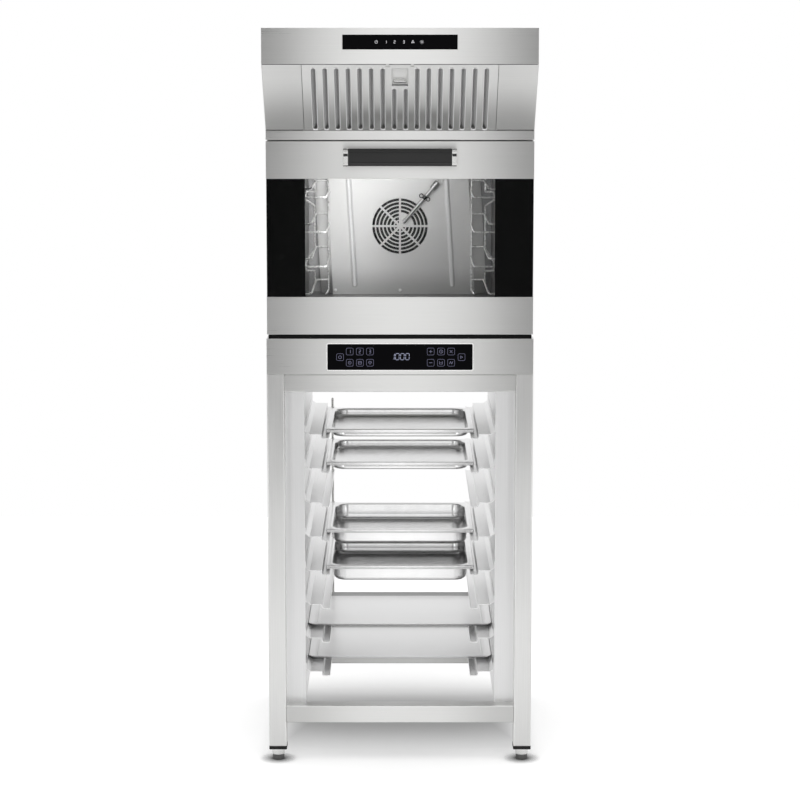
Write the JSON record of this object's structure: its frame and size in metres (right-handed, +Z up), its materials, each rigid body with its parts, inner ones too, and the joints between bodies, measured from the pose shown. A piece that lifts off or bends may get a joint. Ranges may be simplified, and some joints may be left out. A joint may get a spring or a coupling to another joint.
{
  "type": "convection oven with hood and stand",
  "caption": "Electric convection oven with a drop-down glass door, an extraction hood above it and an open stand with runners for pans and trays.",
  "frame": {"origin": "on the floor, at the centre of the whole object's plan", "axes": "+X to the right seen from the front, +Y to the back, +Z up; the door is on the -Y side"},
  "size_m": [0.6068, 0.71, 1.685],
  "materials": {
    "brushed_steel": "brushed stainless steel",
    "bright_steel": "smooth stainless steel",
    "chrome_wire": "chromed steel",
    "nickel": "nickel-plated steel",
    "dark_glass": "black glass",
    "frit": "black enamel fired on glass",
    "clear_glass": "clear tempered glass",
    "black_plastic": "black moulded plastic",
    "rubber": "silicone rubber",
    "dark_metal": "dull dark metal",
    "wool": "mineral wool",
    "board": "circuit board"
  },
  "bodies": {
    "main": {"stand_legs": "brushed_steel", "stand_top_rails": "brushed_steel", "stand_bottom_rails": "brushed_steel", "leg_end_plugs": "black_plastic", "rack_panels": "brushed_steel", "tray_runners": "brushed_steel", "rear_stop_rod": "dark_metal", "oven_shell": "brushed_steel", "oven_back_panel": "brushed_steel", "oven_base": "brushed_steel", "cavity_liner": "bright_steel", "cavity_face_frame": "brushed_steel", "insulation": "wool", "door_gasket": "rubber", "fan_deflector": "bright_steel", "deflector_screws": "bright_steel", "fan_motor": "dark_metal", "ring_heater": "dark_metal", "water_pipe": "bright_steel", "pipe_clip": "bright_steel", "side_rack_left": "chrome_wire", "side_rack_right": "chrome_wire", "cavity_lamp": "clear_glass", "control_fascia": "brushed_steel", "control_bezel": "bright_steel", "control_glass": "dark_glass", "control_board": "board", "water_valve": "black_plastic", "cable_gland": "black_plastic", "hinge_brackets": "dark_metal", "hood_casing": "brushed_steel", "hood_fascia": "brushed_steel", "hood_control_glass": "dark_glass", "hood_infill_panels": "brushed_steel", "hood_lower_trim": "brushed_steel", "hood_blower_housing": "dark_metal"},
    "door": {"door_outer_glass": "clear_glass", "door_upper_panel": "brushed_steel", "door_lower_panel": "brushed_steel", "door_frit_bands": "frit", "door_inner_frame": "brushed_steel", "door_inner_glass": "clear_glass", "handle_grip": "black_plastic", "handle_ends": "bright_steel"},
    "filter": {"hood_filter_frame": "bright_steel", "hood_filter_mesh": "dark_metal"},
    "filter_latch": {"hood_filter_latch": "bright_steel"},
    "fan": {"fan_impeller": "dark_metal"},
    "blower": {"hood_blower_wheel": "black_plastic"},
    "shallow_pan_upper": {"shallow_pan_upper": "bright_steel"},
    "shallow_pan_lower": {"shallow_pan_lower": "bright_steel"},
    "deep_pan_upper": {"deep_pan_upper": "bright_steel"},
    "deep_pan_lower": {"deep_pan_lower": "bright_steel"},
    "baking_tray_upper": {"baking_tray_upper": "bright_steel"},
    "baking_tray_lower": {"baking_tray_lower": "bright_steel"},
    "foot_front_left": {"foot_front_left": "nickel"},
    "foot_front_right": {"foot_front_right": "nickel"},
    "foot_rear_left": {"foot_rear_left": "nickel"},
    "foot_rear_right": {"foot_rear_right": "nickel"}
  },
  "joints": [
    {"name": "door_hinge", "type": "hinge", "parent": "main", "child": "door", "pos_m": [0, -0.2, 1.018], "axis": [1, 0, 0], "range_deg": [0, 90]},
    {"name": "filter_tilt", "type": "hinge", "parent": "main", "child": "filter", "pos_m": [0, -0.20993, 1.46607], "axis": [1, 0, 0], "range_deg": [0, 45]},
    {"name": "filter_latch_slide", "type": "slide", "parent": "filter", "child": "filter_latch", "axis": [0, 0.7001, -0.7141], "range_m": [0, 0.006], "stiffness_N_per_m": 250, "springref_m": -0.004},
    {"name": "fan_spin", "type": "hinge", "parent": "main", "child": "fan", "pos_m": [0, 0.25, 1.212], "axis": [0, 1, 0], "continuous": true},
    {"name": "blower_spin", "type": "hinge", "parent": "main", "child": "blower", "pos_m": [0, 0.11, 1.555], "axis": [1, 0, 0], "continuous": true},
    {"name": "shallow_pan_upper_slide", "type": "slide", "parent": "main", "child": "shallow_pan_upper", "axis": [0, -1, 0], "range_m": [-0.075, 0.25]},
    {"name": "shallow_pan_lower_slide", "type": "slide", "parent": "main", "child": "shallow_pan_lower", "axis": [0, -1, 0], "range_m": [-0.06, 0.25]},
    {"name": "deep_pan_upper_slide", "type": "slide", "parent": "main", "child": "deep_pan_upper", "axis": [0, -1, 0], "range_m": [-0.06, 0.25]},
    {"name": "deep_pan_lower_slide", "type": "slide", "parent": "main", "child": "deep_pan_lower", "axis": [0, -1, 0], "range_m": [-0.09, 0.25]},
    {"name": "baking_tray_upper_slide", "type": "slide", "parent": "main", "child": "baking_tray_upper", "axis": [0, -1, 0], "range_m": [-0.04, 0.25]},
    {"name": "baking_tray_lower_slide", "type": "slide", "parent": "main", "child": "baking_tray_lower", "axis": [0, -1, 0], "range_m": [-0.04, 0.25]},
    {"name": "foot_front_left_height", "type": "slide", "parent": "main", "child": "foot_front_left", "axis": [0, 0, -1], "range_m": [0, 0.02]},
    {"name": "foot_front_right_height", "type": "slide", "parent": "main", "child": "foot_front_right", "axis": [0, 0, -1], "range_m": [0, 0.02]},
    {"name": "foot_rear_left_height", "type": "slide", "parent": "main", "child": "foot_rear_left", "axis": [0, 0, -1], "range_m": [0, 0.02]},
    {"name": "foot_rear_right_height", "type": "slide", "parent": "main", "child": "foot_rear_right", "axis": [0, 0, -1], "range_m": [0, 0.02]}
  ]
}
